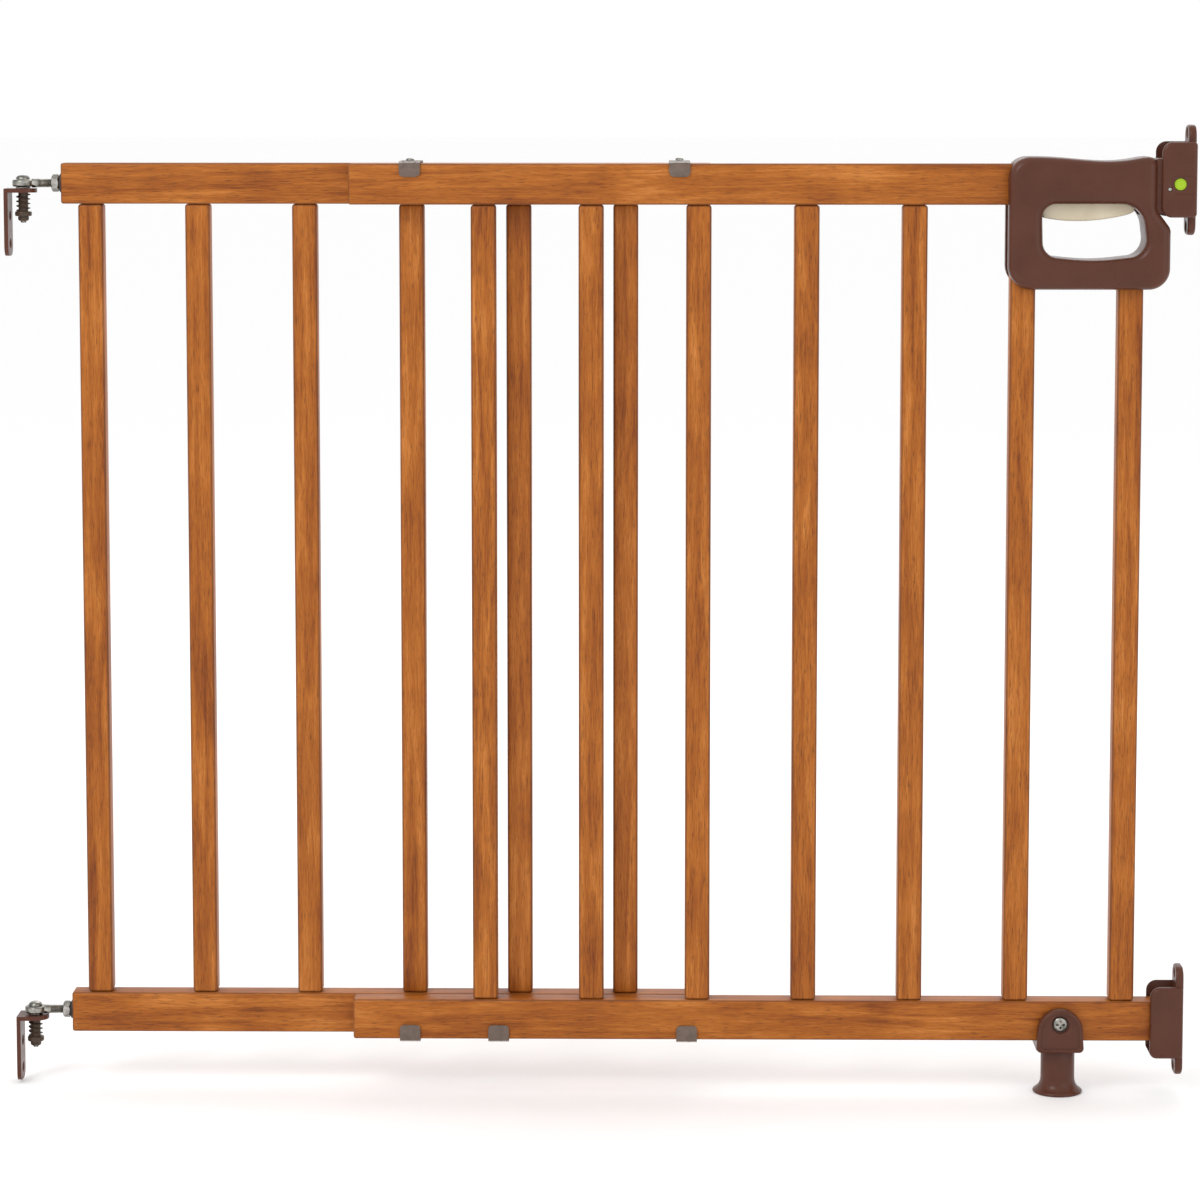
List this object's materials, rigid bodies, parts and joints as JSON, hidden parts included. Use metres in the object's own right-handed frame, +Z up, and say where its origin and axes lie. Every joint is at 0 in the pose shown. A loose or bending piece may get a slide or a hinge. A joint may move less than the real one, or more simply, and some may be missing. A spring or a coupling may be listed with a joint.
{
  "type": "baby gate",
  "caption": "Wooden stair gate of two overlapping sliding baluster panels, hung on wall hinges and latched by a squeeze handle in wall brackets.",
  "frame": {"origin": "on the floor, midway between the two wall planes and at mid depth of the whole object", "axes": "+X from the hinge wall to the latch wall, -Y to the room side that shows the front panel, +Z up"},
  "size_m": [1.018, 0.0626, 0.8404],
  "materials": {
    "wood": "satin",
    "brown_plastic": "satin",
    "beige_plastic": "satin",
    "green_plastic": "gloss",
    "clip_steel": "satin",
    "zinc_steel": "satin",
    "dark_insert": "matte"
  },
  "bodies": {
    "wall_hinges": {"hinge_bracket_top": "brown_plastic", "hinge_bushing_top": "brown_plastic", "pivot_washer_top": "zinc_steel", "pivot_bolt_top": "zinc_steel", "pivot_nut_top": "brown_plastic", "hinge_bracket_bottom": "brown_plastic", "hinge_bushing_bottom": "brown_plastic", "pivot_washer_bottom": "zinc_steel", "pivot_bolt_bottom": "zinc_steel", "pivot_nut_bottom": "brown_plastic"},
    "hinge_panel": {"rear_top_rail": "wood", "rear_bottom_rail": "wood", "rear_baluster_1": "wood", "rear_baluster_2": "wood", "rear_baluster_3": "wood", "rear_baluster_4": "wood", "rear_baluster_5": "wood", "rear_baluster_6": "wood", "eye_bolt_top": "zinc_steel", "eye_bolt_bottom": "zinc_steel", "jam_nut_top": "zinc_steel", "jam_nut_bottom": "zinc_steel", "rail_insert_top": "dark_insert", "rail_insert_bottom": "dark_insert", "top_clip_right": "clip_steel", "top_clip_right_screw": "zinc_steel", "bottom_clip_right": "clip_steel", "bottom_clip_right_screw": "zinc_steel"},
    "width_stop": {"lock_clip": "clip_steel", "lock_screw": "zinc_steel"},
    "latch_panel": {"front_top_rail": "wood", "front_bottom_rail": "wood", "front_baluster_1": "wood", "front_baluster_2": "wood", "front_baluster_3": "wood", "front_baluster_4": "wood", "front_baluster_5": "wood", "front_baluster_6": "wood", "front_baluster_7": "wood", "top_clip_left": "clip_steel", "top_clip_left_screw": "zinc_steel", "bottom_clip_left": "clip_steel", "bottom_clip_left_screw": "zinc_steel", "handle_front_shell": "brown_plastic", "handle_rear_shell": "brown_plastic", "handle_screw_left": "zinc_steel", "handle_screw_lower": "zinc_steel", "handle_screw_right": "zinc_steel", "hook_pin": "zinc_steel", "foot_cap": "brown_plastic", "cap_screw": "zinc_steel"},
    "trigger": {"trigger": "beige_plastic", "trigger_spring": "zinc_steel"},
    "latch_hook": {"latch_hook": "zinc_steel"},
    "foot": {"foot_base": "brown_plastic", "foot_stud": "zinc_steel"},
    "wall_strike": {"strike_bracket": "brown_plastic", "strike_pin": "zinc_steel", "cup_bracket": "brown_plastic"},
    "indicator": {"indicator_button": "green_plastic"}
  },
  "joints": [
    {"name": "gate_swing", "type": "hinge", "parent": "wall_hinges", "child": "hinge_panel", "pos_m": [-0.494, 0.0149, 0.4], "axis": [0, 0, 1], "range_deg": [-80, 90]},
    {"name": "width_adjust", "type": "slide", "parent": "hinge_panel", "child": "width_stop", "axis": [1, 0, 0], "range_m": [-0.22, 0.14]},
    {"name": "open_slide", "type": "slide", "parent": "width_stop", "child": "latch_panel", "axis": [1, 0, 0], "range_m": [-0.03, 0]},
    {"name": "trigger_squeeze", "type": "slide", "parent": "latch_panel", "child": "trigger", "axis": [0, 0, 1], "range_m": [0, 0.005], "stiffness_N_per_m": 1200, "springref_m": -0.004, "deforming": ["trigger_spring"]},
    {"name": "hook_lift", "type": "hinge", "parent": "latch_panel", "child": "latch_hook", "pos_m": [0.44, -0.0073, 0.797], "axis": [0, -1, 0], "range_deg": [0, 9.7]},
    {"name": "foot_height", "type": "slide", "parent": "latch_panel", "child": "foot", "axis": [0, 0, 1], "range_m": [0, 0.004]},
    {"name": "strike_width", "type": "slide", "parent": "wall_hinges", "child": "wall_strike", "axis": [1, 0, 0], "range_m": [-0.22, 0.14]},
    {"name": "indicator_sink", "type": "slide", "parent": "wall_strike", "child": "indicator", "axis": [0, 1, 0], "range_m": [0, 0.002]}
  ],
  "couplings": [
    {"joint": "trigger_squeeze", "follows": "open_slide", "ratio": -0.16667},
    {"joint": "hook_lift", "follows": "open_slide", "rad_per_m": -5.55},
    {"joint": "strike_width", "follows": "width_adjust", "ratio": 1},
    {"joint": "indicator_sink", "follows": "open_slide", "ratio": -0.066667}
  ]
}
